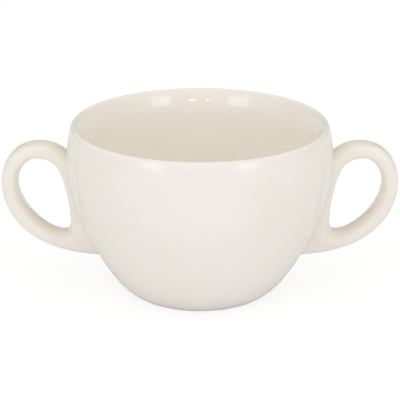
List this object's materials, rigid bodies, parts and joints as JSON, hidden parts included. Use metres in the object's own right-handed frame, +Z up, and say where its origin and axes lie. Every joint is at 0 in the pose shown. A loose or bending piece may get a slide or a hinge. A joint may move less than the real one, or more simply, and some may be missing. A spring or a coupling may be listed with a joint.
{
  "type": "two-handled soup cup",
  "caption": "Thick porcelain soup cup with a tapering round bowl, a rounded lip, a low foot ring and a closed loop handle on either side.",
  "frame": {"origin": "on the bowl's axis, on the plane that the foot ring stands on", "axes": "+X through the right handle, +Y to the back, +Z up along the bowl's axis"},
  "size_m": [0.1556, 0.1036, 0.0678],
  "materials": {
    "ivory_glaze": "smooth glossy ivory glaze over vitrified porcelain",
    "luting_slip": "fired slip under the same ivory glaze"
  },
  "bodies": {
    "root": {"bowl": "ivory_glaze", "handle_left": "ivory_glaze", "handle_right": "ivory_glaze", "slip_joint_left": "luting_slip", "slip_joint_right": "luting_slip"}
  },
  "joints": []
}
